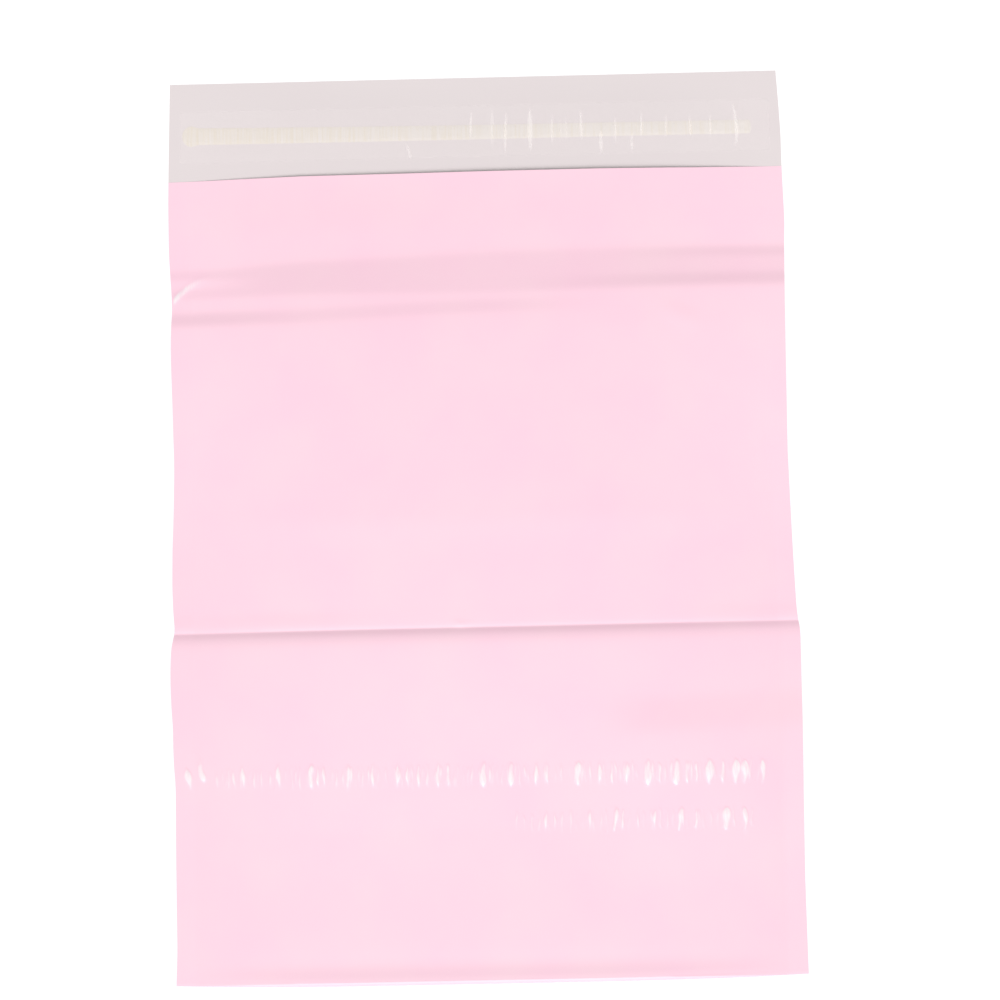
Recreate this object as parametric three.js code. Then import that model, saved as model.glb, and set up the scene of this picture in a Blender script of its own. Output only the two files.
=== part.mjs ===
// A poly mailer bag that lies on its back, with the front panel up, the flap open and flat, and
// the mouth standing a little open. Millimetres: +X runs across the bag, +Y from the bottom fold
// to the flap's edge, and +Z up from the surface it lies on. The origin is on that surface, under
// the middle of the bag with its flap open.
import * as THREE from "three";
import { mergeVertices } from "three/addons/utils/BufferGeometryUtils.js";

const { lerp, smoothstep } = THREE.MathUtils;

// The film, folded once at the bottom and welded down both sides
const filmThickness = 0.06;
const bagWidth = 254;
const bagLength = 330;
const flapLength = 41;
const sealWidth = 8;

// The air between the two panels
const pillowHeight = 7.2;
const levelWidth = 50;
const foldRise = 2.4;
const fillLength = 65;
const mouthGap = 5.8;
const mouthBow = 0.9;

// The soft groove just above the bottom fold
const grooveUp = 10;
const grooveDepth = 0.9;
const grooveWidth = 13;

// The lower crease of a pack that was folded in three, and how the side seals lift beside it
const lowerCreaseUp = 143;
const lowerCreaseDepth = 1.5;
const lowerCreaseWidth = 18;
const edgeLift = 1.1;
const edgeReach = 36;

// The upper crease, which runs up to the right, and the ridge between it and the mouth
const upperCreaseDown = 49;
const upperCreaseSlant = 14;
const upperCreaseDepth = 1.1;
const upperCreaseWidth = 10;
const ridgeWidthLeft = 22;
const ridgeWidthRight = 11;

// The rows of short crinkles that adhesive strips pressed into the film
const crinkleHeight = 0.35;
const crinkleLength = 9;
const crinkleWidth = 2.6;
const crinklePitch = 5.2;
const longRowUp = 86;
const longRowLeftMargin = 14;
const longRowRightMargin = 14;
const shortRowUp = 64;
const shortRowLength = 99;
const shortRowRightMargin = 21;

// The adhesive on the flap, and the clear film tape that covers it
const stripWidth = 6;
const stripThickness = 0.1;
const stripAboveMouth = 18;
const stripLeftMargin = 4.5;
const stripRightMargin = 12;
const blobRadius = 4;
const linerWidth = 22;
const linerThickness = 0.04;
const linerMargin = 4;
const pleatHeight = 0.9;
const pleatWidth = 2.4;
const pleatPitch = 9;

const pink = new THREE.MeshStandardMaterial({ color: 0xfdd8e7, roughness: 0.42, metalness: 0 });
const hotMelt = new THREE.MeshStandardMaterial({ color: 0xeae0cf, roughness: 0.35, metalness: 0 });
const clearFilm = new THREE.MeshStandardMaterial({
  color: 0xf4f2f2,
  roughness: 0.18,
  metalness: 0,
  transparent: true,
  opacity: 0.25,
});

const halfWidth = bagWidth / 2;
const pocketHalf = halfWidth - sealWidth;
const bottomY = -(bagLength + flapLength) / 2;
const mouthY = bottomY + bagLength;
const upperCreaseUp = bagLength - upperCreaseDown;
const shortRowEnd = halfWidth - shortRowRightMargin;
const crinkleRows = [
  { up: longRowUp, start: longRowLeftMargin - halfWidth, end: halfWidth - longRowRightMargin },
  { up: shortRowUp, start: shortRowEnd - shortRowLength, end: shortRowEnd },
];

// 0 at the left edge of the bag, 1 at the right one
const rightward = (x) => (x + halfWidth) / bagWidth;

// A fold's V, 1 at its line and 0 from one half width on
const spike = (u) => Math.max(0, 1 - Math.abs(u)) ** 2;

// A pair of waves, one on each side of a fold that stays down
const shoulders = (u) => Math.sin((Math.min(Math.abs(u), 2) * Math.PI) / 2) ** 2;

// The same irregular steps in every bag, from 0 to 1
const uneven = (k) => (k * 0.618034) % 1;

// Share of the pocket's height that stands at x: level in the middle, nothing at the seals
function across(x) {
  const out = Math.max(0, Math.abs(x) - levelWidth / 2) / (pocketHalf - levelWidth / 2);
  return Math.max(0, 1 - out ** 2.4);
}

// Height of the air between the panels on a line drawn up from the bottom fold
function airAt(x, up) {
  const side = rightward(x);
  const filled = lerp(foldRise, pillowHeight, smoothstep(up, grooveUp, grooveUp + fillLength));
  const groove = grooveDepth * (1 - smoothstep(Math.abs(up - grooveUp), 0, grooveWidth / 2));
  const lower = lowerCreaseDepth * spike((up - lowerCreaseUp) / (lowerCreaseWidth / 2));
  const upper =
    upperCreaseDepth * lerp(1, 0.4, side) * spike((up - upperCreaseUp) / (upperCreaseWidth / 2));
  const ridgeWidth = lerp(ridgeWidthLeft, ridgeWidthRight, side);
  const top = smoothstep(up, upperCreaseUp + ridgeWidth / 3, upperCreaseUp + ridgeWidth);
  return lerp(filled, mouthGap, top) - groove - lower - upper;
}

// How far both films lift together at the side seals, beside each crease
function liftAt(x, up) {
  const edge = smoothstep(Math.abs(x), pocketHalf - edgeReach, halfWidth);
  const waves =
    shoulders((up - lowerCreaseUp) / lowerCreaseWidth) + shoulders((up - upperCreaseUp) / lowerCreaseWidth);
  return edge * edgeLift * waves;
}

// The crinkles of a row, spaced and raised unevenly
function crinklesIn({ start, end }) {
  const count = Math.floor((end - start) / crinklePitch);
  return Array.from({ length: count }, (_, k) => ({
    centre: start + crinklePitch * (k + 0.5) + (crinklePitch - crinkleWidth) * (uneven(k) - 0.5),
    height: crinkleHeight * lerp(0.6, 1, uneven(3 * k)),
  }));
}

const crinkleRowAt = (up) => crinkleRows.find((row) => Math.abs(up - row.up) < crinkleLength / 2);

// Height that the crinkles add to the front panel, each a narrow tent
function crinkleAt(x, up) {
  const row = crinkleRowAt(up);
  if (!row) return 0;
  const tents = crinklesIn(row).map(
    ({ centre, height }) => height * (1 - Math.abs(x - centre) / (crinkleWidth / 2)),
  );
  return Math.max(0, ...tents);
}

// A line's place along the bag: it follows the upper crease's slant and the mouth's bow
function yAt(x, up) {
  const below = smoothstep(up, lowerCreaseUp + lowerCreaseWidth, upperCreaseUp - upperCreaseWidth);
  const above = 1 - smoothstep(up, upperCreaseUp + ridgeWidthRight, bagLength);
  const slant = upperCreaseSlant * (rightward(x) - 0.5) * Math.min(below, above);
  const bow = mouthBow * (1 - (x / halfWidth) ** 2) * smoothstep(up, upperCreaseUp, bagLength);
  return bottomY + up + slant + bow;
}

const backUnder = (x, up) => new THREE.Vector3(x, yAt(x, up), liftAt(x, up));
const backOver = (x, up) => new THREE.Vector3(x, yAt(x, up), filmThickness + liftAt(x, up));
const frontHeight = (x, up) => liftAt(x, up) + across(x) * airAt(x, up) + crinkleAt(x, up);
const frontUnder = (x, up) => new THREE.Vector3(x, yAt(x, up), filmThickness + frontHeight(x, up));
const frontOver = (x, up) => new THREE.Vector3(x, yAt(x, up), 2 * filmThickness + frontHeight(x, up));

// A point on the bottom fold's round loop, at a depth inside its outer face
function foldPoint(x, turn, depth) {
  const radius = filmThickness + (across(x) * airAt(x, 0)) / 2;
  return new THREE.Vector3(
    x,
    bottomY + radius - (radius - depth) * Math.cos(turn),
    radius + (radius - depth) * Math.sin(turn),
  );
}

// Places across the bag where a row of the film needs a point
function places(half, shares) {
  const right = shares.map((share) => share * half);
  return [...right.map((x) => -x).reverse(), ...right.filter((x) => x > 0)];
}
const pillowPlaces = places(pocketHalf, [0, 0.2, 0.4, 0.55, 0.7, 0.82, 0.91, 1]);
const edgePlaces = [0, 0.33, 0.67, 1].map((share) => lerp(pocketHalf - edgeReach, pocketHalf, share));
const withSeals = (xs) => [-halfWidth, ...xs, halfWidth];

function frontPlaces(up) {
  const row = crinkleRowAt(up);
  if (!row) return pillowPlaces;
  const steps = [-crinkleWidth / 2, 0, crinkleWidth / 2];
  const fine = crinklesIn(row).flatMap(({ centre }) => steps.map((step) => centre + step));
  return [...pillowPlaces.filter((x) => x < fine[0] || x > fine.at(-1)), ...fine].sort((a, b) => a - b);
}

function backPlaces(up) {
  const flat = liftAt(halfWidth, up) === 0;
  return flat ? [-pocketHalf, pocketHalf] : [...edgePlaces.map((x) => -x).reverse(), ...edgePlaces];
}

// Distances up from the bottom fold where the film needs a row of points
function rowHeights() {
  const about = (line, reach, steps) => steps.map((step) => line + step * reach);
  const shaped = [
    ...about(0, grooveUp, [0.3, 0.7, 1, 1.4, 2]),
    ...crinkleRows.flatMap(({ up }) => about(up, crinkleLength / 2, [-1, -0.5, 0.5, 1])),
    ...about(lowerCreaseUp, lowerCreaseWidth, [-2, -1.2, -0.5, -0.25, -0.1, 0, 0.1, 0.25, 0.5, 1.2, 2]),
    ...about(upperCreaseUp, upperCreaseWidth, [-2, -0.5, -0.25, 0, 0.25, 0.5]),
    ...about(upperCreaseUp, ridgeWidthLeft, [0.45, 0.65, 0.85, 1.05]),
    bagLength,
  ];
  const spacing = 20;
  const plain = Array.from({ length: Math.ceil(bagLength / spacing) }, (_, k) => (k + 0.5) * spacing);
  const clear = plain.filter((up) => shaped.every((other) => Math.abs(other - up) > spacing / 2));
  return [...shaped, ...clear].filter((up) => up > foldRise && up <= bagLength).sort((a, b) => a - b);
}

// Faces between two rows of points that run the same way, however many points each has
function bridge(first, second, axis = "x") {
  const faces = [];
  let i = 0;
  let j = 0;
  while (i < first.length - 1 || j < second.length - 1) {
    const stepFirst =
      j === second.length - 1 || (i < first.length - 1 && first[i + 1][axis] <= second[j + 1][axis]);
    if (stepFirst) {
      faces.push([first[i], first[i + 1], second[j]]);
      i += 1;
    } else {
      faces.push([first[i], second[j + 1], second[j]]);
      j += 1;
    }
  }
  return faces;
}

const bridgeAll = (rows) => rows.slice(1).flatMap((row, k) => bridge(rows[k], row));
const turnedOver = (faces) => faces.map((face) => face.toReversed());

function geometryFrom(faces) {
  const real = faces.filter(([a, b, c]) => !a.equals(b) && !b.equals(c) && !c.equals(a));
  const geometry = new THREE.BufferGeometry().setFromPoints(real.flat());
  const merged = mergeVertices(geometry, filmThickness / 100);
  merged.computeVertexNormals();
  return merged;
}

// The whole bag is one length of film, followed here along its section: from the flap's edge down
// the back panel, round the bottom fold and up the front panel. The inside is laid under the
// outside row by row, so that the film keeps its thickness
function filmBag() {
  const heights = rowHeights();
  const turns = [-3, -2, -1, 0, 1, 2, 3].map((step) => (step * Math.PI) / 6);
  const sealed = withSeals(pillowPlaces);

  const back = heights.map((up) => withSeals(backPlaces(up)).map((x) => backUnder(x, up))).reverse();
  const floor = heights.map((up) => backPlaces(up).map((x) => backOver(x, up))).reverse();
  const foldOutside = turns.map((turn) => sealed.map((x) => foldPoint(x, turn, 0)));
  const foldInside = turns.map((turn) => pillowPlaces.map((x) => foldPoint(x, turn, filmThickness)));
  const front = heights.map((up) => withSeals(frontPlaces(up)).map((x) => frontOver(x, up)));
  const ceiling = heights.map((up) => frontPlaces(up).map((x) => frontUnder(x, up)));

  // The front panel's cut edge, which steps down to the flap outside the pocket
  const corners = [-halfWidth, halfWidth].map((x) => backOver(x, bagLength));
  const lip = [corners[0], ...ceiling.at(-1), corners[1]];
  const flapFoot = [corners[0], ...floor[0], corners[1]];
  const flapEdge = [filmThickness, 0].map((z) =>
    [-halfWidth, halfWidth].map((x) => new THREE.Vector3(x, mouthY + flapLength, z)),
  );

  const sides = [0, -1].map((end) => {
    const upper = [...foldOutside, ...front, lip, flapFoot, flapEdge[0]].map((row) => row.at(end));
    const lower = [foldOutside[0], ...back.toReversed(), flapEdge[1]].map((row) => row.at(end));
    const faces = bridge(lower, upper, "y");
    return end === 0 ? turnedOver(faces) : faces;
  });
  return geometryFrom([
    ...bridgeAll([flapFoot, ...flapEdge, ...back, ...foldOutside, ...front, lip]),
    ...turnedOver(bridgeAll([...floor, ...foldInside, ...ceiling])),
    ...sides.flat(),
  ]);
}

// A band of hot-melt adhesive with a blob where the nozzle opened
function adhesiveStrip() {
  const half = stripWidth / 2;
  const left = -halfWidth + stripLeftMargin + blobRadius;
  const right = halfWidth - stripRightMargin - half;
  const meet = Math.asin(half / blobRadius);
  const outline = new THREE.Shape();
  outline.absarc(right, 0, half, -Math.PI / 2, Math.PI / 2);
  outline.absarc(left, 0, blobRadius, meet, 2 * Math.PI - meet);
  outline.closePath();
  return new THREE.ExtrudeGeometry(outline, { depth: stripThickness, bevelEnabled: false, curveSegments: 8 });
}

// Clear tape in small pleats, higher towards the right, drawn as its section across the bag
function releaseLiner() {
  const half = halfWidth - linerMargin;
  const count = Math.floor((2 * half) / pleatPitch);
  const pleats = Array.from({ length: count }, (_, k) => {
    const centre = -half + pleatPitch * (k + 0.5) + (pleatPitch - pleatWidth) * 0.8 * (uneven(k) - 0.5);
    const height = pleatHeight * lerp(0.4, 1, k / count) * (0.6 + 0.4 * uneven(2 * k));
    return { centre, height };
  });
  const crest = pleats.flatMap(({ centre, height }) => [
    [centre - pleatWidth / 2, 0],
    [centre - pleatWidth / 8, height],
    [centre + pleatWidth / 8, height],
    [centre + pleatWidth / 2, 0],
  ]);
  const underside = [[-half, 0], ...crest, [half, 0]].map(([x, z]) => new THREE.Vector2(x, z));
  const topside = underside.map(({ x, y }) => new THREE.Vector2(x, y + linerThickness)).reverse();
  const section = new THREE.Shape([...underside, ...topside]);
  const geometry = new THREE.ExtrudeGeometry(section, { depth: linerWidth, bevelEnabled: false });
  return geometry.rotateX(Math.PI / 2);
}

function piece(name, geometry, material, y, z) {
  const mesh = new THREE.Mesh(geometry, material);
  mesh.name = name;
  mesh.position.set(0, y, z);
  return mesh;
}

const stripY = mouthY + stripAboveMouth;
const mailer = new THREE.Group();
mailer.add(
  piece("film_bag", filmBag(), pink, 0, 0),
  piece("adhesive_strip", adhesiveStrip(), hotMelt, stripY, filmThickness),
  piece("release_liner", releaseLiner(), clearFilm, stripY + linerWidth / 2, filmThickness + stripThickness),
);

export default mailer;
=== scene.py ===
import math

import bpy
import numpy as np
from mathutils import Matrix, Vector


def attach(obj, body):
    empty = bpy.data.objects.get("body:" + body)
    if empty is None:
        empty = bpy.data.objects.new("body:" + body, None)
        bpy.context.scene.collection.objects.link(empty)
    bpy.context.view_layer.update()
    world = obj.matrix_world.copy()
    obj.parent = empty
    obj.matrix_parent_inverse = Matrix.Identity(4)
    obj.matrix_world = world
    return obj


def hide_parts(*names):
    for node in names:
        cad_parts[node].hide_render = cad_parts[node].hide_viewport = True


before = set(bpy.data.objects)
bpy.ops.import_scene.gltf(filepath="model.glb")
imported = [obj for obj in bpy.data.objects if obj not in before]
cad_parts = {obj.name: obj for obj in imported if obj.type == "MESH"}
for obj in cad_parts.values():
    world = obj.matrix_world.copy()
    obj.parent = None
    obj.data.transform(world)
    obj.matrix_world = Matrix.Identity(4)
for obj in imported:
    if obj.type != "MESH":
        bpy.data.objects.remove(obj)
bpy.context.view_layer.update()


# The film bag. One length of polyethylene film, pink outside and grey-lilac inside, is folded once
# at the bottom and welded down both sides. Its back panel runs on past the mouth as the flap.

# Sizes are in millimetres, and the meshes are made in metres
millimetre = 0.001
film_thickness = 0.06
bag_width, bag_length, flap_length, seal_width = 254, 330, 41, 8
half_width = bag_width / 2
pocket_half = half_width - seal_width
bottom_y = -(bag_length + flap_length) / 2
mouth_y = bottom_y + bag_length

# The pocket stands level over its middle and rounds down to the welds
level_half, pocket_roundness = 25, 2.6

# The welded edges wander from here outwards, and the mouth and the bottom fold are bowed
wander_start = 70
mouth_bow_start, mouth_bow_end = 300, bag_length + 6
bottom_bow, bottom_bow_reach = 1.2, 40

# The bag was packed folded in three. Seen from the mouth down, the film climbs at each crease and
# sinks back over the next panel. The upper crease is a broad shelf with smaller steps at its ends
# and a faint mark below it, and the lower one is a narrow step with a low lip above it
lower_rise, lower_reach, lip_rise = 1.5, 2.5, 0.24
shelf_rise, left_step_rise, right_step_rise, far_right_rise = 2.2, 0.62, 0.95, 0.6
mark_rise_left, mark_rise_middle = 0.8, 0.7
slanted_rise, slanted_up, slanted_slope = 1.05, 110.5, 0.033
sink_start, sink_end = 12, 110

# Beside the welds, both panels stand up together by this share of what the creases raise. At the
# mouth, the back panel follows the front one half way up and then lies down again in the flap
edge_share, edge_reach = 0.85, 50
follow_share, follow_start = 0.5, 292


def ease(value, start, end):
    """Rises smoothly from 0 at start to 1 at end."""
    share = np.clip((value - start) / (end - start), 0, 1)
    return share * share * (3 - 2 * share)


def hump(value, centre, reach):
    """A soft hump, 1 at its centre and 0 from its reach on."""
    return np.clip(1 - ((value - centre) / reach) ** 2, 0, 1) ** 2


def ramp(value, start, end, corner):
    """Rises straight from 0 at start to 1 at end, with rounded corners."""
    low = np.logaddexp(0, (value - start) / corner)
    return (low - np.logaddexp(0, (value - end) / corner)) * corner / (end - start)


def pocket_share(x):
    """Share of the pocket's height that stands at x: level in the middle, nothing at the welds."""
    out = np.clip(np.abs(x) - level_half, 0, None) / (pocket_half - level_half)
    return np.clip(1 - out**pocket_roundness, 0, 1)


def soft_line(places, values, spread=3.2):
    """A smooth line near the values set at some places, blurred by about its spread."""
    step, margin, reach = 0.5, 20, 40
    fine = np.arange(places[0] - margin, places[-1] + margin, step)
    weights = np.exp(-((np.arange(-reach, reach + step, step) / spread) ** 2))
    straight = np.pad(np.interp(fine, places, values), round(reach / step), mode="edge")
    smooth = np.convolve(straight, weights / weights.sum(), "valid")
    return lambda at: np.interp(at, fine, smooth)


# How far each welded edge stands out of its straight line, and where the creases run
right_edge = soft_line(
    [0, 37, 69, 109, 138, 145, 166, 211, 253, 278, 307, 330, 345, 358, 371],
    [0.1, 0, 0.4, 1.1, 1.4, 0.4, -0.2, -1.2, -0.8, -0.4, 1.0, 0.6, 0.6, 0.1, -0.6],
)
left_edge = soft_line(
    [0, 14, 30, 54, 79, 87, 95, 103, 111, 119, 127, 135, 143, 147, 152, 160, 169,
     177, 185, 194, 210, 219, 235, 252, 260, 269, 277, 285, 294, 302, 319, 329, 344, 371],
    [0.4, 0.9, 0.7, 0.6, 0.7, 0.1, -0.2, -0.2, -0.8, -1.1, -1.1, -0.8, 0.8, 0.1, -0.1, -0.4, -0.3,
     -0.2, 0.2, 0.5, 0.9, 0.7, 0.4, 0, -0.1, 0.2, 0.4, -0.1, -0.8, -1.1, -1.2, -1.1, -0.8, -0.2],
)
lower_crease = soft_line([-127, -55, 27, 127], [141.0, 141.2, 141.3, 141.5], 12)
shelf_top = soft_line([-127, -73, -32, 10, 127], [290.5, 293.5, 294.5, 296.1, 296.7], 12)
shelf_foot = soft_line([-127, -73, 10, 127], [279.0, 279.8, 278.6, 280.1], 12)
fold_mark = soft_line([-127, -73, -52, -11, 60], [270.6, 270.3, 271.2, 272.7, 273.5], 8)


def along_x(x, up):
    """Where a point of the film lies across the bag, with the edges' slight wander."""
    right_share, left_share = ease(x, wander_start, half_width), ease(-x, wander_start, half_width)
    return x + right_edge(up) * right_share + left_edge(up) * left_share


def along_y(x, up):
    """Where a point lies along the bag: the mouth and the bottom fold are a little bowed."""
    near_mouth = ease(up, mouth_bow_start, bag_length) * (1 - ease(up, bag_length, mouth_bow_end))
    bottom = bottom_bow * (1 - (x / half_width) ** 4) * (1 - ease(up, 0, bottom_bow_reach))
    return bottom_y + up + mouth_bow(x) * near_mouth - bottom


def sinking(fall):
    """What a crease has raised sinks back over the next panel."""
    return 1 - ease(fall, sink_start, sink_end)


def crease_lift(x, up):
    """How high the creases hold the film up."""
    below = np.clip(lower_crease(x) - up, 0, None)
    above = np.clip(up - lower_crease(x), 0, None)
    lower = lower_rise * (1 - np.exp(-((below / lower_reach) ** 1.3))) * sinking(below)
    ends = 1 - ease(x, -75, -35) + ease(x, 75, 112)
    lip = 0.9 * ends * ramp(-above, -7, -3, 0.6) - np.exp(-above / 1.3)
    lower = lower + lip_rise * lip * (above < 12)

    top, foot = shelf_top(x), shelf_foot(x)
    left, right, far_right = ease(-x, 84, 118), ease(x, -5, 122), ease(x, 45, 122)
    left_steps = ramp(-up, -291.4, -287.6, 0.5) + ramp(-up, -283.6, -279.4, 0.5)
    shelf = shelf_rise * (1 - left) * ramp(-up, -top, -foot, 0.7)
    shelf = shelf + left * left_step_rise * left_steps
    shelf = shelf + right_step_rise * right * ramp(-up, -foot - 5.5, -foot - 0.5, 0.7)
    shelf = shelf + far_right_rise * far_right * ramp(-up, -top, -top + 4, 0.6)
    mark = mark_rise_middle * (1 - ease(x, 0, 62)) + mark_rise_left * (1 - ease(x, -122, -60))
    shelf = shelf + mark * ramp(-up, -fold_mark(x) - 2.6, -fold_mark(x) + 2.6, 0.7)

    under = slanted_up + slanted_slope * (x - 52) - up
    slanted = slanted_rise * ramp(under, 0, 13, 0.5) * (1 - ease(under, 18, 95)) * ease(x, 38, 72)
    return lower + shelf * sinking(foot - up) + slanted


def edge_lift(x, up):
    """How far both panels stand up together: along the welds they are one sheet."""
    near_weld = ease(np.abs(x), pocket_half - edge_reach, pocket_half)
    return edge_share * crease_lift(x, up) * near_weld


# Height of the pocket's middle at rest from the bottom fold up, and of its mouth from left to right
rest_height = soft_line(
    [0, 3, 5, 7, 9.5, 14, 25, 40, 60, 80, 100, 120, 136,
     144, 150, 165, 185, 200, 220, 240, 254, 265, 280, 300, 330],
    [4.0, 3.95, 3.65, 3.42, 3.38, 3.45, 3.5, 3.56, 3.7, 4.1, 4.57, 5.14, 5.7,
     5.72, 5.85, 6.3, 6.82, 6.42, 5.66, 4.85, 4.42, 4.2, 3.8, 3.35, 3.0], 1.4,
)
mouth_gap = soft_line(
    [-119, -112, -100, -75, -35, 0, 50, 80, 100, 112, 119],
    [0, 0.4, 1.0, 2.0, 2.5, 2.8, 2.9, 2.4, 1.5, 0.55, 0], 4,
)
mouth_bow = soft_line([-127, -102, -73, -31, 10, 52, 94, 120], [-0.8, -0.4, 0.1, 0.1, 0.3, 0.3, 0, 0.2], 8)


def mouth_lift(x, up):
    """How far the back panel and the flap stand up at the mouth."""
    settled = 1 - ease(up, bag_length - 3, bag_length + flap_length)
    return follow_share * mouth_gap(x) * ease(up, follow_start, bag_length) * settled


def pocket_height(x, up):
    """Height of the air between the panels."""
    rest = pocket_share(x) * rest_height(up)
    held = crease_lift(x, up) * (1 - ease(np.abs(x), pocket_half - edge_reach, pocket_half))
    return rest + held


# Rows of short crinkles, pressed into the film as it lay packed. Each is a narrow bead, listed as
# its centre, distance up the bag, width, length, height, lean and bow. The strong ones stand at
# given places, and faint ones fill in between
strong_crinkles = [
    (-121.4, 82.5, 2.4, 9, 0.30, -0.14, -0.3), (-116.0, 85, 2.6, 8, 0.32, -0.12, 0.4),
    (-98.8, 83, 1.2, 9, 0.30, -0.05, 0.2), (-84.3, 83, 1.5, 9.5, 0.34, -0.03, 0.1),
    (-71.0, 82.6, 2.4, 9.5, 0.36, 0.05, 0.2), (-68.3, 82.6, 1.0, 8, 0.26, 0, 0.2),
    (-65.9, 82.6, 1.0, 9, 0.28, 0, -0.2), (-55.9, 82.4, 1.3, 9, 0.30, 0.03, 0.1),
    (-46.2, 82.4, 1.2, 9, 0.28, 0, 0.2), (-36.0, 82.2, 1.5, 9.5, 0.34, 0.04, 0),
    (-32.2, 82.2, 1.0, 8, 0.26, 0, 0.1), (-27.7, 82.2, 1.2, 9, 0.30, 0.05, 0.1),
    (-19.9, 82, 1.3, 9.5, 0.33, 0.03, 0.2), (-15.7, 82, 1.0, 9, 0.28, 0, 0.1),
    (-1.6, 82, 2.5, 10, 0.38, 0.06, 0.2), (9.6, 81.8, 2.4, 9.5, 0.36, 0.05, 0.1),
    (19.7, 81.8, 1.4, 9, 0.32, 0.04, 0.1), (24.1, 81.8, 1.0, 8, 0.26, 0, 0),
    (36.5, 81.6, 2.8, 9.5, 0.38, 0.04, 0.2), (45.3, 81.6, 1.3, 9, 0.30, 0.03, 0.1),
    (50.2, 81.5, 1.0, 8.5, 0.26, 0, 0.1), (56.2, 81.5, 1.4, 9, 0.32, 0.04, 0.1),
    (64.8, 81.4, 2.7, 10.5, 0.42, 0.05, 0.2), (69.4, 81.4, 1.2, 8, 0.28, 0, 0.1),
    (76.2, 81.3, 2.7, 10.5, 0.42, 0.05, 0.2), (80.2, 81.3, 1.2, 9, 0.30, 0, 0.1),
    (84.2, 81.3, 1.0, 8, 0.28, 0, 0), (89.4, 81.2, 3.0, 10.5, 0.42, 0.05, 0.2),
    (94.7, 81.2, 1.4, 9, 0.32, 0.03, 0.2), (99.9, 81.2, 2.8, 10, 0.38, 0.05, -0.2),
    (103.5, 81.1, 2.7, 9.5, 0.36, 0.03, -0.3), (110.7, 81, 1.7, 9.5, 0.34, 0, -0.6),
    (23.2, 63, 1.2, 8, 0.22, 0.08, 0), (40.9, 63, 1.2, 8, 0.22, 0.06, 0),
    (51.3, 63, 1.6, 9.5, 0.34, 0.16, 0.1), (54.1, 63, 1.0, 8, 0.26, 0.1, 0),
    (66.9, 62.8, 1.2, 8, 0.26, 0.08, 0.1), (77.3, 62.6, 2.1, 9.5, 0.34, 0.16, 0.1),
    (83.7, 62.5, 1.1, 8, 0.26, 0.08, 0), (95.7, 62.3, 3.2, 9.5, 0.38, 0.06, 0.2),
    (103.3, 62.2, 1.7, 9.5, 0.34, 0, -0.5),
]
chance = np.random.default_rng(7)
faint_crinkles = []
for up, centres in ((81.9, np.arange(-110, 113, 1.9)), (62.7, np.arange(12, 106, 3.0))):
    for centre in centres + chance.uniform(-0.9, 0.9, len(centres)):
        faint_crinkles.append(
            (centre, up + chance.uniform(-0.5, 0.5), chance.uniform(0.7, 1.2), chance.uniform(7, 10),
             chance.uniform(0.05, 0.19), chance.uniform(-0.06, 0.1), chance.uniform(-0.1, 0.2))
        )
# A crinkle as high as this is fully drawn
full_draw = 0.36
streak_rise, streak_glint_share, streak_reach = 0.25, 0.6, 2.6


def crinkle_height(x, up):
    """Height that the crinkles add to the front panel, and how hard the film is drawn there."""
    height, drawn = np.zeros_like(x), np.zeros_like(x)
    for centre, middle, width, length, rise, lean, bow in strong_crinkles + faint_crinkles:
        along = (up - middle) / (length / 2)
        near = (np.abs(along) < 1) & (np.abs(x - centre) < 5)
        if not near.any():
            continue
        v = along[near]
        lens = (1 - v**2) ** 0.55 * (1 + 0.22 * np.sin(3.1 * v + 1.7 * centre))
        middle_line = centre + lean * v * length / 2 + bow * (v**2 - 0.3)
        middle_line = middle_line + 0.14 * np.sin(3.7 * v + centre)
        bead = np.clip(1 - ((x[near] - middle_line) / (0.7 * width * lens)) ** 2, 0, None) ** 1.5
        fades = 0.8 + 0.2 * v * np.sin(5 * centre)
        height[near] = np.maximum(height[near], rise * lens * bead)
        drawn[near] = np.maximum(drawn[near], min(1, rise / full_draw) * fades * lens * bead)
    # A curved streak where the upper crease pulls at the left weld, raised a little and whitened as a painted
    # glint
    beside = up - 283.4 - 0.75 * (x + 121) + 0.03 * (x + 121) ** 2
    streak = (1 - ease(x, -126, -107)) * hump(beside, 0, streak_reach)
    return height + streak_rise * streak, np.maximum(drawn, streak_glint_share * streak)


# Soft swells of the front panel: height, place across and up the bag, reach both ways, and slant
swells = [(0.2, 83, 267, 12, 7, 0.4), (0.15, -9, 142.5, 4, 2.4, 0)]
front_wave, flap_rest, flap_ripple = 0.04, 0.09, 0.06


def smooth_front(x, up):
    """Height of the front panel without its crinkles, with its swells and a slight wave."""
    inside = ease(pocket_half - np.abs(x), 0, 5)
    soft = np.zeros_like(x)
    for rise, across, along, reach_across, reach_along, slant in swells:
        leaning = up + slant * (x - across)
        soft = soft + rise * hump(leaning, along, reach_along) * hump(x, across, reach_across)
    soft = soft + front_wave * np.sin(up / 17 + x / 120) * np.sin(x / 31 + up / 90)
    pocket = pocket_height(x, up)
    pocket = pocket + (mouth_gap(x) - pocket) * ease(up, 304, bag_length)
    return np.clip(pocket + inside * soft, 0, None)


def flap_wave(x, up):
    """The flap doesn't lie quite flat on what is under it."""
    free = ease(up, bag_length + 2, bag_length + 16)
    wave = flap_rest + flap_ripple * np.sin(x / 19 + up / 15) * np.sin(up / 9)
    return edge_lift(x, up) + mouth_lift(x, up) + free * wave


def runs(*pieces):
    """Places along a line from pieces of (start, end, step)."""
    parts = [np.linspace(a, b, max(2, round((b - a) / step) + 1))[:-1] for a, b, step in pieces]
    return np.append(np.concatenate(parts), pieces[-1][1])


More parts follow.
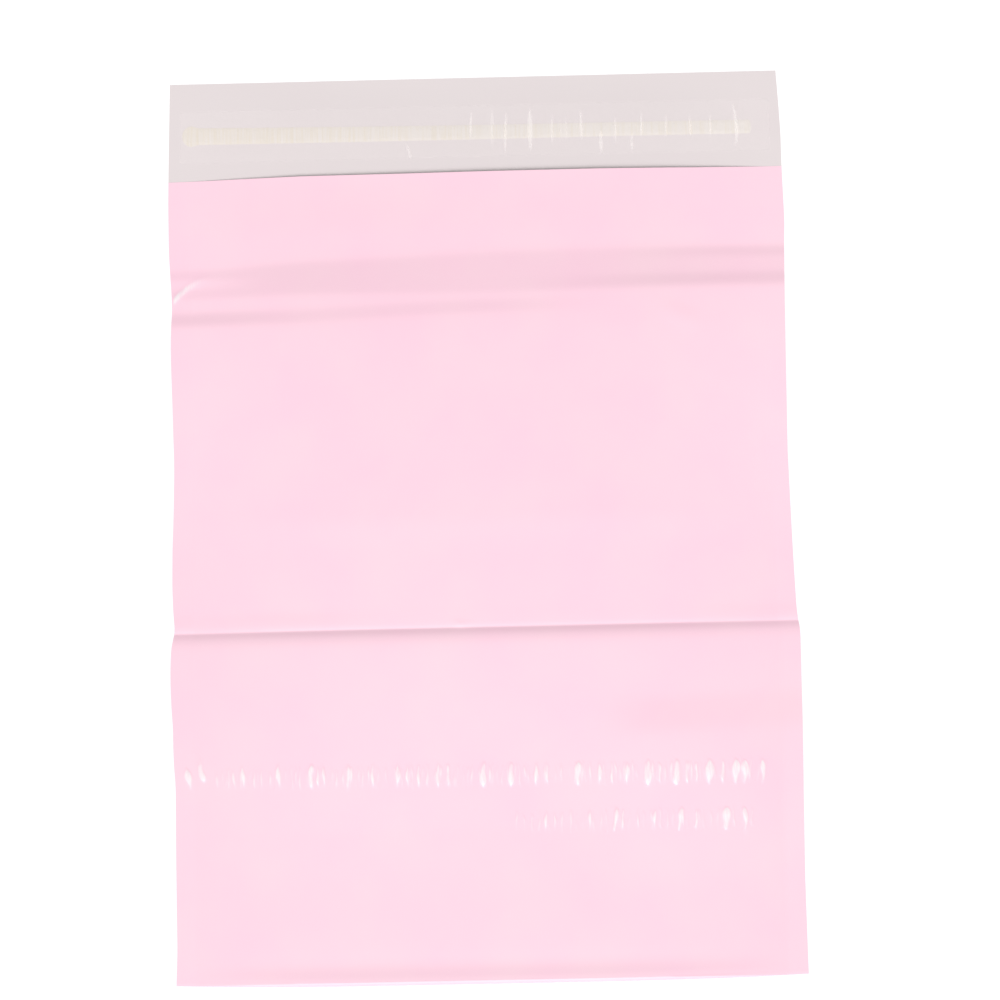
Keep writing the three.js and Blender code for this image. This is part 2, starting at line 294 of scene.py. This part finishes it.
# Where the rows of points lie up the bag, and the points across it: close where the film is
# creased, crinkled or welded
row_places = runs(
    (1.6, 15, 0.7), (15, 57.4, 2.8), (57.4, 68.2, 0.6), (68.2, 75.6, 1.8), (75.6, 88.4, 0.6),
    (88.4, 130, 2.6), (130, 138, 1), (138, 144, 0.35), (144, 152, 1), (152, 262, 3),
    (262, 300, 0.75), (300, 324, 2.2), (324, bag_length, 1),
)
half_places = runs((0, 100, 3.2), (100, 114, 1.6), (114, pocket_half, 0.6))
plain_places = np.append(-half_places[:0:-1], half_places)
back_half_places = runs((0, 83, 21), (83, pocket_half, 4))
back_places = np.append(-back_half_places[:0:-1], back_half_places)
weld_places = np.array([1.5, 3.2, 5.0, 6.6, seal_width])
crinkle_step, streak_step = 0.42, 0.45


def with_welds(places):
    """The places across the pocket, with the welded bands on both sides."""
    right = pocket_half + weld_places
    left = -right[::-1]
    return np.concatenate([left[left < places[0] - 0.2], places, right])


def front_places(up):
    """Places across the front panel, close together where it is crinkled."""
    if 57.5 < up < 68.1:
        fine = runs((10, 109, crinkle_step))
    elif 75.7 < up < 88.3:
        fine = runs((-123.4, -pocket_half, crinkle_step), (-pocket_half, 114, crinkle_step))
    elif 273 < up < 294:
        fine = runs((-126.6, -104, streak_step))
    else:
        return plain_places
    keep = (plain_places < fine[0] - 0.1) | (plain_places > fine[-1] + 0.1)
    return np.sort(np.append(plain_places[keep], fine))


film_points, film_drawn, film_faces, film_sides = [], [], [], []
point_count = 0


def lay_row(x, up, height, drawn=None, y=None):
    """Adds one row of points across the film and returns their numbers and places."""
    global point_count
    up = np.full_like(x, up, dtype=float)
    y = along_y(x, up) if y is None else y
    film_points.append(np.column_stack([along_x(x, up), y, height]))
    film_drawn.append(np.zeros_like(x) if drawn is None else drawn)
    point_count += len(x)
    return np.arange(point_count - len(x), point_count), x


def bridge(first, second, side, turned=False):
    """Faces between two rows that run the same way, however many points each has."""
    (a, places_a), (b, places_b) = first, second
    key = np.append(places_a[1:], places_b[1:])
    second_row = np.append(np.zeros(len(a) - 1, int), np.ones(len(b) - 1, int))
    second_row = second_row[np.lexsort((second_row, key))]
    i = np.cumsum(1 - second_row) - (1 - second_row)
    j = np.cumsum(second_row) - second_row
    next_a, next_b = a[np.minimum(i + 1, len(a) - 1)], b[np.minimum(j + 1, len(b) - 1)]
    faces = np.column_stack([a[i], np.where(second_row == 1, next_b, next_a), b[j]])
    film_faces.append(faces[:, ::-1] if turned else faces)
    film_sides.append(np.full(len(faces), side))


def fold_row(places, turn, depth):
    """One row of the bottom fold's round loop, at a depth inside its outer face."""
    zero = np.zeros_like(places)
    radius = film_thickness + pocket_height(places, zero) / 2
    y = along_y(places, zero) + radius - (radius - depth) * math.cos(turn)
    return lay_row(places, 0, radius + (radius - depth) * math.sin(turn), y=y)


# The film's rows, followed up the bag: the back panel's two faces and the front panel's
outside, inside = 0, 1
back, floor_rows, front, ceiling = [], [], [], []
for up in row_places:
    x = back_places
    floor_rows.append(lay_row(x, up, film_thickness + edge_lift(x, up) + mouth_lift(x, up)))
    x = with_welds(back_places)
    back.append(lay_row(x, up, edge_lift(x, up) + mouth_lift(x, up)))
    x = with_welds(front_places(up))
    level, on_film = np.full_like(x, up), ease(half_width - np.abs(x), 0, 1.4)
    crinkles, drawn = crinkle_height(x, level)
    height = smooth_front(x, level) + on_film * crinkles + edge_lift(x, up) + film_thickness
    front.append(lay_row(x, up, height + film_thickness, on_film * drawn))
    pocket = np.abs(x) < pocket_half + 0.01
    ceiling.append(lay_row(x[pocket], up, height[pocket]))

turns = np.linspace(-math.pi / 2, math.pi / 2, 13)
fold_outside = [fold_row(with_welds(plain_places), turn, 0) for turn in turns]
fold_inside = [fold_row(plain_places, turn, film_thickness) for turn in turns]

# The flap's own rows, and the front panel's cut edge, which steps down to the flap
flap_rows = runs((bag_length, bag_length + flap_length, 1.6))[1:]
flap_places = with_welds(plain_places)
flap_top = [lay_row(flap_places, up, film_thickness + flap_wave(flap_places, up)) for up in flap_rows]
flap_under = [lay_row(flap_places, up, flap_wave(flap_places, up)) for up in flap_rows]


def with_corners(row):
    """The same row, carried on to the welds' outer edges."""
    numbers, places = row
    level = np.full(len(weld_places), film_thickness)
    ends = lay_row(weld_places + pocket_half, bag_length, level)[0]
    starts = lay_row(-weld_places[::-1] - pocket_half, bag_length, level)[0]
    return np.concatenate([starts, numbers, ends]), with_welds(places)


lip, flap_foot = with_corners(ceiling[-1]), with_corners(floor_rows[-1])
skin = [*flap_under[::-1], *back[::-1], *fold_outside, *front, lip]
lining = [*floor_rows[::-1], *fold_inside, *ceiling]
for first, second in zip(skin, skin[1:]):
    bridge(first, second, outside)
for first, second in zip(lining, lining[1:]):
    bridge(first, second, inside, turned=True)
for first, second in zip([flap_foot, *flap_top], flap_top):
    bridge(first, second, inside)
bridge(flap_top[-1], flap_under[-1], inside)

# The cut edges down both sides
for end in (0, -1):
    upper = [row[0][end] for row in [*fold_outside, *front, lip, flap_foot, *flap_top]]
    lower = [row[0][end] for row in [fold_outside[0], *back, *flap_under]]
    y_of = np.concatenate(film_points)[:, 1]
    rows = [(np.array(line), y_of[line] + np.arange(len(line)) * 1e-9) for line in (lower, upper)]
    bridge(rows[0], rows[1], outside, turned=end == 0)

# Points that meet become one, and faces that have closed up go
film_points = np.concatenate(film_points)
film_points, kept, renumbered = np.unique(
    np.round(film_points, 4), axis=0, return_index=True, return_inverse=True
)
film_faces = renumbered.reshape(-1)[np.concatenate(film_faces)]
film_sides = np.concatenate(film_sides)
whole = (np.diff(np.sort(film_faces, axis=1), axis=1) > 0).all(axis=1)
film_faces, film_sides = film_faces[whole], film_sides[whole]

film_mesh = bpy.data.meshes.new("mailer_film")
film_mesh.from_pydata(film_points * millimetre, [], film_faces.tolist())
film_mesh.polygons.foreach_set("material_index", film_sides.astype(np.int32))
film_mesh.polygons.foreach_set("use_smooth", np.ones(len(film_faces), bool))
film_mesh.set_sharp_from_angle(angle=math.radians(55))
film_mesh.attributes.new("drawn", "FLOAT", "POINT").data.foreach_set(
    "value", np.concatenate(film_drawn)[kept].astype(np.float32)
)
film_mesh.update()


def set_in_scene(name, data):
    """Makes an object of a mesh, a lamp or a camera, and puts it into the scene."""
    made = bpy.data.objects.new(name, data)
    bpy.context.scene.collection.objects.link(made)
    return made


mailer_film = set_in_scene("mailer_film", film_mesh)


def put(tree, kind, inputs=None, **settings):
    """Adds a node, sets it, and fills its inputs with values or with other nodes' outputs."""
    made = tree.nodes.new(kind)
    for name, value in settings.items():
        setattr(made, name, value)
    for name, value in (inputs or {}).items():
        if isinstance(value, bpy.types.NodeSocket):
            tree.links.new(value, made.inputs[name])
        else:
            made.inputs[name].default_value = value
    return made


def new_group(name, kind, inputs, outputs):
    """An empty node group with named inputs and outputs, and its two end nodes."""
    group = bpy.data.node_groups.new(name, kind)
    for label, (socket, value) in inputs.items():
        made = group.interface.new_socket(label, in_out="INPUT", socket_type=socket)
        if value is not None:
            made.default_value = value
    for label, socket in outputs.items():
        group.interface.new_socket(label, in_out="OUTPUT", socket_type=socket)
    return group, group.nodes.new("NodeGroupInput").outputs, group.nodes.new("NodeGroupOutput").inputs


def calculate(tree, operation, *values):
    """Reckons with values or with other nodes' outputs."""
    return put(tree, "ShaderNodeMath", dict(enumerate(values)), operation=operation).outputs[0]


def rescale(tree, value, start, end, low, high, **settings):
    """Turns the range from start to end into the one from low to high, and holds what lies beyond."""
    inputs = {"Value": value, "From Min": start, "From Max": end, "To Min": low, "To Max": high}
    return put(tree, "ShaderNodeMapRange", inputs, **settings).outputs[0]


def mix_colours(tree, share, first, second):
    """Goes from the first colour to the second one."""
    inputs = {"Factor": share, "A": first, "B": second}
    return put(tree, "ShaderNodeMix", inputs, data_type="RGBA").outputs["Result"]


# Blown film is cloudy in soft patches, carries faint lines the way it ran out of the die, and is
# never quite smooth. Both sides of the bag and the clear tape use this
blown_film, given, result = new_group(
    "blown film",
    "ShaderNodeTree",
    {"Place": ("NodeSocketVector", None), "Cloud size": ("NodeSocketFloat", 0.03),
     "Die lines": ("NodeSocketFloat", 0.3)},
    {"Clouds": "NodeSocketFloat", "Relief": "NodeSocketFloat"},
)
cloud_scale = calculate(blown_film, "DIVIDE", 1.0, given["Cloud size"])
clouds = put(blown_film, "ShaderNodeTexNoise",
             {"Vector": given["Place"], "Scale": cloud_scale, "Detail": 3.0, "Roughness": 0.5})
stretched = put(blown_film, "ShaderNodeMapping", {"Vector": given["Place"], "Scale": (900, 9, 900)})
lines = put(blown_film, "ShaderNodeTexNoise", {"Vector": stretched.outputs[0], "Scale": 1.0, "Detail": 2.0})
line_share = calculate(blown_film, "MULTIPLY", lines.outputs[0], given["Die lines"])
skin_grain = put(blown_film, "ShaderNodeTexNoise", {"Vector": given["Place"], "Scale": 420.0, "Detail": 2.0})
relief = calculate(blown_film, "ADD", skin_grain.outputs[0], line_share)
blown_film.links.new(clouds.outputs[0], result["Clouds"])
blown_film.links.new(relief, result["Relief"])

# Polyethylene turns paler and glossier where it is drawn out, in broken streaks. The paler colour
# is partly whitened film and partly a painted glint on the crinkles and the tape's puckers
drawn_film, given, result = new_group(
    "drawn film",
    "ShaderNodeTree",
    {"Place": ("NodeSocketVector", None), "Drawn": ("NodeSocketFloat", 0.0),
     "Least": ("NodeSocketFloat", 0.4)},
    {"Whitening_and_glint": "NodeSocketFloat"},
)
streaks = put(drawn_film, "ShaderNodeMapping", {"Vector": given["Place"], "Scale": (1500, 260, 1500)})
broken = put(drawn_film, "ShaderNodeTexNoise", {"Vector": streaks.outputs[0], "Scale": 1.0, "Detail": 2.0})
patchy = rescale(drawn_film, broken.outputs[0], 0.3, 0.62, given["Least"], 0.92)
strength = rescale(drawn_film, given["Drawn"], 0.06, 0.6, 0.0, 1.0, interpolation_type="SMOOTHSTEP")
whitening_and_glint = calculate(drawn_film, "MULTIPLY", strength, patchy)
drawn_film.links.new(whitening_and_glint, result["Whitening_and_glint"])


def new_finish(name):
    """A material with nothing in its node tree yet, and that tree."""
    finish = bpy.data.materials.new(name)
    finish.use_nodes = True
    finish.node_tree.nodes.clear()
    return finish, finish.node_tree


def film_look(tree, **drawn_settings):
    """The clouds and relief of blown film, and its whitening and painted glint where the mesh is drawn."""
    place = put(tree, "ShaderNodeTexCoord").outputs["Object"]
    film = put(tree, "ShaderNodeGroup", {"Place": place}, node_tree=blown_film)
    pulled = put(tree, "ShaderNodeAttribute", attribute_name="drawn").outputs["Fac"]
    drawn = put(tree, "ShaderNodeGroup", {"Place": place, "Drawn": pulled, **drawn_settings},
                node_tree=drawn_film)
    return film.outputs["Clouds"], film.outputs["Relief"], drawn.outputs["Whitening_and_glint"]


film_index, film_relief, drawn_gloss = 1.5, 0.02, 0.2


def film_finish(name, pale, deep, white, smooth, rough):
    """A satin film: two close tones in soft clouds, glossier where drawn and paler there, partly as a painted
    glint.
    """
    finish, tree = new_finish(name)
    clouds, relief, whitening_and_glint = film_look(tree)
    tone = mix_colours(tree, rescale(tree, clouds, 0.3, 0.7, 0.0, 1.0), pale, deep)
    colour = mix_colours(tree, whitening_and_glint, tone, white)
    satin = rescale(tree, clouds, 0.0, 1.0, smooth, rough)
    gloss = put(tree, "ShaderNodeMix", {"Factor": whitening_and_glint, "A": satin, "B": drawn_gloss}, data_type="FLOAT")
    bump = put(tree, "ShaderNodeBump",
               {"Strength": 0.5, "Distance": film_relief * millimetre, "Height": relief})
    surface = put(tree, "ShaderNodeBsdfPrincipled",
                  {"Base Color": colour, "Roughness": gloss.outputs[0], "IOR": film_index,
                   "Normal": bump.outputs[0]})
    put(tree, "ShaderNodeOutputMaterial", {"Surface": surface.outputs[0]})
    return finish


# Each film's white, which it takes on at its crinkles, is partly whitened film and partly a painted glint
pink_film = film_finish(
    "pink film", pale=(0.975, 0.67, 0.764, 1), deep=(0.975, 0.64, 0.758, 1),
    white=(0.955, 0.90, 0.915, 1), smooth=0.36, rough=0.44,
)
grey_film = film_finish(
    "grey-lilac film", pale=(0.757, 0.689, 0.692, 1), deep=(0.752, 0.68, 0.685, 1),
    white=(0.86, 0.84, 0.84, 1), smooth=0.38, rough=0.46,
)
film_mesh.materials.append(pink_film)
film_mesh.materials.append(grey_film)
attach(mailer_film, "root")
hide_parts("film_bag")


# The adhesive. A band of pale hot-melt, laid on the flap by a nozzle that left a blob where it
# opened, with fine ribs across it from the moving film.
strip_left, strip_right = -122.2, 115.5
strip_up, strip_rise, half_band, band_spread, end_radius = 17.35, 1.15, 2.95, 0.6, 0.8
blob_centre, blob_half_length, blob_half_width = -118.2, 4.0, 4.4
bend_start, bend_length = 113, 223
adhesive_height, dome_foot, adhesive_edge = 0.1, 0.03, 0.02
rib_pitch, rib_share = 0.5, 0.035
ribs = np.random.default_rng(3).uniform(-1, 1, 1400)


def rib(x):
    """How far each fine rib stands out, between -1 and 1."""
    return np.interp((x - strip_left) / rib_pitch, np.arange(len(ribs)), ribs)


def towards_blob(x):
    """Share of the way from the band's right end to its left one."""
    return np.clip((bend_start - x) / bend_length, 0, None)


def strip_middle(x):
    """The band's middle line, which runs slightly nearer the mouth to the right."""
    return mouth_y + strip_up + strip_rise * towards_blob(x) ** 3


def strip_half(x):
    """Half the band's width: a round blob, then a band with round ends and uneven edges."""
    blob = np.sqrt(np.clip(1 - ((x - blob_centre) / blob_half_length) ** 2, 0, None)) * blob_half_width
    right_end = np.sqrt(np.clip((strip_right - x) / end_radius, 0, 1))
    band = (half_band + band_spread * towards_blob(x) ** 2) * right_end
    band = np.where(x > blob_centre, band, 0)
    return np.maximum(blob, band) * (1 + rib_share * rib(x))


strip_x = runs((strip_left, strip_left + 3, 0.15), (strip_left + 3, strip_right - 3, 0.4),
               (strip_right - 3, strip_right, 0.15))
across = np.linspace(-1, 1, 11)
grid_x, grid_a = np.meshgrid(strip_x, across, indexing="ij")
grid_y = strip_middle(grid_x) + strip_half(grid_x) * grid_a
lies_on = film_thickness + flap_wave(grid_x, grid_y - bottom_y)
dome = dome_foot + adhesive_height * (1 - np.abs(grid_a) ** 3) * (1 + 0.25 * rib(grid_x))
edge = (np.abs(grid_a) == 1) | (grid_x == strip_x[0]) | (grid_x == strip_x[-1])
top = np.stack([grid_x, grid_y, lies_on + np.where(edge, adhesive_edge, dome)], axis=-1).reshape(-1, 3)
under = np.stack([grid_x, grid_y, lies_on], axis=-1).reshape(-1, 3)


def grid_faces(rows, columns):
    """Quads of a grid of points, and the grid's numbers."""
    number = np.arange(rows * columns).reshape(rows, columns)
    corners = [number[:-1, :-1], number[1:, :-1], number[1:, 1:], number[:-1, 1:]]
    return np.stack(corners, axis=-1).reshape(-1, 4), number


def slab_faces(rows, columns):
    """Quads of a closed slab whose top and underside are equal grids."""
    quads, number = grid_faces(rows, columns)
    rim = np.concatenate([number[:, 0], number[-1, 1:], number[-2::-1, -1], number[0, -2:0:-1]])
    after = np.roll(rim, -1)
    count = rows * columns
    walls = np.column_stack([rim, rim + count, after + count, after])
    return np.concatenate([quads, quads[:, ::-1] + count, walls])


strip_mesh = bpy.data.meshes.new("adhesive_band")
strip_mesh.from_pydata(
    np.concatenate([top, under]) * millimetre, [], slab_faces(len(strip_x), len(across)).tolist()
)
strip_mesh.polygons.foreach_set("use_smooth", np.ones(len(strip_mesh.polygons), bool))
strip_mesh.set_sharp_from_angle(angle=math.radians(50))
adhesive_band = set_in_scene("adhesive_band", strip_mesh)

# The adhesive is streaked across, and lies thinner and paler towards its right end
hot_melt, tree = new_finish("hot-melt adhesive")
place = put(tree, "ShaderNodeTexCoord").outputs["Object"]
combed = put(tree, "ShaderNodeMapping", {"Vector": place, "Scale": (1300, 60, 60)})
comb = put(tree, "ShaderNodeTexNoise", {"Vector": combed.outputs[0], "Scale": 1.0, "Detail": 3.0})
streaky = rescale(tree, comb.outputs[0], 0.35, 0.68, 0.0, 1.0)
apart = put(tree, "ShaderNodeSeparateXYZ", {0: place})
thinner = rescale(tree, apart.outputs["X"], -0.12, 0.02, 0.0, 0.5)
paler = put(tree, "ShaderNodeMath", {0: streaky, 1: thinner}, operation="ADD", use_clamp=True)
colour = mix_colours(tree, paler.outputs[0], (0.772, 0.695, 0.604, 1), (0.802, 0.74, 0.706, 1))
bump = put(tree, "ShaderNodeBump",
           {"Strength": 0.5, "Distance": 0.04 * millimetre, "Height": comb.outputs[0]})
surface = put(tree, "ShaderNodeBsdfPrincipled",
              {"Base Color": colour, "Roughness": 0.3, "IOR": 1.48, "Normal": bump.outputs[0]})
put(tree, "ShaderNodeOutputMaterial", {"Surface": surface.outputs[0]})
strip_mesh.materials.append(hot_melt)
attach(adhesive_band, "root")
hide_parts("adhesive_strip")


# The release liner. A clear film tape is rolled over the adhesive to keep it clean until the bag
# is used. It puckers across its length where the adhesive holds it.
tape_half_length, tape_half_width, tape_thickness = 123, 11, 0.04
tape_up, tape_height = 18, 0.11
ripple_height, ripple_pitch, ripple_seed, full_pucker = 0.008, 1.6, 5.0, 0.08
# Each pucker is listed as a crinkle is, with its distance beyond the mouth
puckers = [
    (-27.3, 9.5, 1.3, 9, 0.049, -0.25, 0.1), (-1.3, 21, 1.3, 12, 0.052, 0.05, 0.1),
    (7.5, 19, 2.6, 17, 0.032, 0, 0.1), (13.0, 17, 1.2, 20, 0.066, 0.04, 0.3),
    (23.3, 18, 2.2, 19, 0.077, 0, 0.2), (32.5, 18, 1.2, 14, 0.035, 0, 0),
    (35.9, 18, 1.0, 14, 0.032, 0, 0), (38.4, 18, 1.0, 13, 0.032, 0, 0),
    (44.6, 19.5, 1.4, 15, 0.052, -0.03, 0.1), (52.7, 12, 2.2, 11, 0.052, -0.02, 0.1),
    (58.8, 17, 1.2, 13, 0.038, 0, 0), (65.6, 11.5, 1.4, 8, 0.049, 0, 0.1),
    (69.8, 19.5, 1.4, 12, 0.052, 0, 0.1), (80.0, 18, 1.2, 13, 0.038, 0, 0),
    (90.0, 18, 1.2, 13, 0.038, 0, 0), (98.4, 18, 1.3, 14, 0.038, 0, 0),
    (109.0, 18, 1.6, 19, 0.070, -0.04, -1.0),
]
tape_x = runs((-tape_half_length, tape_half_length, 0.45))
tape_across = runs((-tape_half_width, tape_half_width, 1.0))
grid_x, grid_y = np.meshgrid(tape_x, tape_across, indexing="ij")
grid_y = grid_y + mouth_y + tape_up
pucker = np.zeros_like(grid_x)
for centre, above, width, length, rise, lean, bow in puckers:
    v = np.clip((grid_y - mouth_y - above) / (length / 2), -1, 1)
    lens = np.sqrt(1 - v**2)
    beside = grid_x - centre - lean * v * length / 2 - bow * (v**2 - 0.3)
    u = beside / (0.62 * width * np.maximum(lens, 0.05))
    pucker = np.maximum(pucker, rise * lens * np.clip(1 - u**2, 0, None) ** 2)
lies_on = film_thickness + tape_height + flap_wave(grid_x, grid_y - bottom_y)
tape_points = np.stack([grid_x, grid_y, lies_on], axis=-1).reshape(-1, 3) * millimetre
tape_quads = grid_faces(len(tape_x), len(tape_across))[0]
tape_flat = bpy.data.meshes.new("clear_tape")
tape_flat.from_pydata(tape_points, [], tape_quads.tolist())
tape_flat.attributes.new("pucker", "FLOAT", "POINT").data.foreach_set(
    "value", (pucker.reshape(-1) * millimetre).astype(np.float32)
)
tape_flat.polygons.foreach_set("use_smooth", np.ones(len(tape_quads), bool))
clear_tape = set_in_scene("clear_tape", tape_flat)

# The tape shows once, by the side that faces out, since its inner side lets everything through.
# So clear a film casts almost no shadow
clear_film, tree = new_finish("clear film")
clouds, relief, whitening_and_glint = film_look(tree, Least=0.72)
# Where the tape puckers it turns whiter and less clear, partly whitened film and partly a painted glint
glint = rescale(tree, whitening_and_glint, 0.0, 1.0, 0.04, 0.4)
outer = calculate(tree, "SUBTRACT", 1.0, put(tree, "ShaderNodeNewGeometry").outputs["Backfacing"])
in_shadow = put(tree, "ShaderNodeLightPath").outputs["Is Shadow Ray"]
shade = rescale(tree, in_shadow, 0.0, 1.0, 1.0, 0.25)
alpha = calculate(tree, "MULTIPLY", calculate(tree, "MULTIPLY", glint, outer), shade)
gloss = rescale(tree, clouds, 0.0, 1.0, 0.2, 0.3)
bump = put(tree, "ShaderNodeBump",
           {"Strength": 0.4, "Distance": film_relief * millimetre, "Height": relief})
surface = put(tree, "ShaderNodeBsdfPrincipled",
              {"Base Color": (0.95, 0.935, 0.92, 1), "Roughness": gloss, "IOR": film_index,
               "Alpha": alpha, "Normal": bump.outputs[0]})
put(tree, "ShaderNodeOutputMaterial", {"Surface": surface.outputs[0]})

# The tape's fine ripples follow a rule: upright ridges at uneven steps, and then the film gets its
# thickness
ripple, given, result = new_group(
    "rippled tape",
    "GeometryNodeTree",
    {"Geometry": ("NodeSocketGeometry", None), "Ripple height": ("NodeSocketFloat", None),
     "Ripple pitch": ("NodeSocketFloat", None), "Thickness": ("NodeSocketFloat", None),
     "Seed": ("NodeSocketFloat", None), "Finish": ("NodeSocketMaterial", None)},
    {"Geometry": "NodeSocketGeometry"},
)
where = put(ripple, "GeometryNodeInputPosition")
apart = put(ripple, "ShaderNodeSeparateXYZ", {0: where.outputs[0]})
steps = calculate(ripple, "DIVIDE", apart.outputs["X"], given["Ripple pitch"])
slow = calculate(ripple, "MULTIPLY", apart.outputs["Y"], 90.0)
field = put(ripple, "ShaderNodeCombineXYZ", {"X": steps, "Y": slow})
noise = put(ripple, "ShaderNodeTexNoise",
            {"Vector": field.outputs[0], "W": given["Seed"], "Scale": 0.5, "Detail": 2.0},
            noise_dimensions="4D")
folded = calculate(ripple, "ABSOLUTE", calculate(ripple, "SUBTRACT", noise.outputs[0], 0.5))
ridge = rescale(ripple, folded, 0.0, 0.07, 1.0, 0.0, interpolation_type="SMOOTHERSTEP")
raised = calculate(ripple, "MULTIPLY", ridge, given["Ripple height"])
chosen = put(ripple, "GeometryNodeInputNamedAttribute", {"Name": "pucker"}, data_type="FLOAT")
height = calculate(ripple, "ADD", raised, chosen.outputs[0])
share = calculate(ripple, "DIVIDE", height, full_pucker * millimetre)
marked = put(ripple, "GeometryNodeStoreNamedAttribute",
             {"Geometry": given["Geometry"], "Name": "drawn", "Value": share},
             data_type="FLOAT", domain="POINT")
upward = put(ripple, "ShaderNodeCombineXYZ", {"Z": height})
sheet = put(ripple, "GeometryNodeSetPosition", {"Geometry": marked.outputs[0], "Offset": upward.outputs[0]})
thick = put(ripple, "ShaderNodeCombineXYZ", {"Z": given["Thickness"]})
raised_sheet = put(ripple, "GeometryNodeExtrudeMesh",
                   {"Mesh": sheet.outputs[0], "Offset": thick.outputs[0], "Individual": False}, mode="FACES")
turned = put(ripple, "GeometryNodeFlipFaces", {"Mesh": sheet.outputs[0]})
both = put(ripple, "GeometryNodeJoinGeometry")
ripple.links.new(turned.outputs[0], both.inputs[0])
ripple.links.new(raised_sheet.outputs[0], both.inputs[0])
joined = put(ripple, "GeometryNodeMergeByDistance",
             {"Geometry": both.outputs[0], "Distance": 0.004 * millimetre})
real = put(ripple, "GeometryNodeRealizeInstances", {"Geometry": joined.outputs[0]})
finished = put(ripple, "GeometryNodeSetMaterial", {"Geometry": real.outputs[0], "Material": given["Finish"]})
ripple.links.new(finished.outputs[0], result["Geometry"])

maker = clear_tape.modifiers.new("rippled tape", "NODES")
maker.node_group = ripple
sockets = {item.name: item.identifier for item in ripple.interface.items_tree if item.in_out == "INPUT"}
maker[sockets["Ripple height"]] = ripple_height * millimetre
maker[sockets["Ripple pitch"]] = ripple_pitch * millimetre
maker[sockets["Thickness"]] = tape_thickness * millimetre
maker[sockets["Seed"]] = ripple_seed
maker[sockets["Finish"]] = clear_film
bpy.context.view_layer.update()
made = bpy.data.meshes.new_from_object(clear_tape.evaluated_get(bpy.context.evaluated_depsgraph_get()))
clear_tape.modifiers.clear()
clear_tape.data = made
made.set_sharp_from_angle(angle=math.radians(60))
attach(clear_tape, "root")
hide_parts("release_liner")


# The table top that the bag lies on, plain and white. The camera sees it lit from within, so that
# it stays white, and it still takes the bag's soft shadow.

# From here on, places are in metres
table_half = 3.0
table_corners = [(-table_half, -table_half, 0), (table_half, -table_half, 0),
                 (table_half, table_half, 0), (-table_half, table_half, 0)]
table_mesh = bpy.data.meshes.new("table_top")
table_mesh.from_pydata(table_corners, [], [(0, 1, 2, 3)])
table_top = set_in_scene("table_top", table_mesh)
white_top, tree = new_finish("white table top")
plain = put(tree, "ShaderNodeBsdfDiffuse", {"Color": (0.8, 0.8, 0.8, 1)})
faint = put(tree, "ShaderNodeBsdfDiffuse", {"Color": (0.28, 0.28, 0.28, 1)})
glow = put(tree, "ShaderNodeEmission", {"Color": (1, 1, 1, 1), "Strength": 0.8})
seen = put(tree, "ShaderNodeAddShader", {0: faint.outputs[0], 1: glow.outputs[0]})
rays = put(tree, "ShaderNodeLightPath").outputs
direct = calculate(tree, "MAXIMUM", rays["Is Camera Ray"], rays["Is Glossy Ray"])
direct = calculate(tree, "MAXIMUM", direct, rays["Is Transmission Ray"])
mixed = put(tree, "ShaderNodeMixShader", {0: direct, 1: plain.outputs[0], 2: seen.outputs[0]})
put(tree, "ShaderNodeOutputMaterial", {"Surface": mixed.outputs[0]})
table_mesh.materials.append(white_top)


# The light: a white room, a far soft lamp that stands 40 degrees from straight above towards the
# bag's bottom edge, and a small lamp on each side, a little towards the flap, that picks out the
# crinkles.
room_strength, far_strength = 0.382, 2.48
room = bpy.data.worlds.new("white room")
bpy.context.scene.world = room
room.use_nodes = True
tree = room.node_tree
tree.nodes.clear()
rays = put(tree, "ShaderNodeLightPath").outputs
direct = calculate(tree, "MAXIMUM", rays["Is Camera Ray"], rays["Is Transmission Ray"])
strength = rescale(tree, direct, 0.0, 1.0, room_strength, 1.0)
sky = put(tree, "ShaderNodeBackground", {"Color": (1, 1, 1, 1), "Strength": strength})
put(tree, "ShaderNodeOutputWorld", {"Surface": sky.outputs[0]})


def lamp(name, place, size, watts):
    """A soft rectangular lamp aimed at the middle of the bag."""
    data = bpy.data.lights.new(name, "AREA")
    data.shape, (data.size, data.size_y), data.energy = "RECTANGLE", size, watts
    made = set_in_scene(name, data)
    made.location = place
    made.rotation_euler = (-Vector(place)).to_track_quat("-Z", "Y").to_euler()


far_lamp = bpy.data.lights.new("far_lamp", "SUN")
far_lamp.energy, far_lamp.angle = far_strength, math.radians(44)
set_in_scene("far_lamp", far_lamp).rotation_euler = (math.radians(40), 0, math.radians(-4))
lamp("left_lamp", (-1.1, 0.2, 1.0), (0.35, 0.25), 1.25)
lamp("right_lamp", (1.0, 0.3, 1.1), (0.35, 0.25), 1.8)


# The camera stands almost straight above the bag, a little towards its bottom and right, and is
# turned slightly.
camera_distance, aim = 0.8, Vector((0.00748, 0.00773, 0))
tilt, swing, roll = math.radians(5.38), math.radians(5.34), math.radians(-1.22)
towards = Vector((math.sin(tilt) * math.sin(swing), -math.sin(tilt) * math.cos(swing), math.cos(tilt)))
side = Vector((0, 1, 0)).cross(towards).normalized()
upright = towards.cross(side)
right = math.cos(roll) * side + math.sin(roll) * upright
top_side = -math.sin(roll) * side + math.cos(roll) * upright
turn = Matrix((right, top_side, towards)).transposed().to_4x4()
camera = set_in_scene("camera", bpy.data.cameras.new("camera"))
camera.data.lens, camera.data.clip_start = 70.2, 0.05
camera.matrix_world = Matrix.Translation(aim + camera_distance * towards) @ turn
bpy.context.scene.camera = camera
bpy.context.scene.view_settings.view_transform = "Standard"
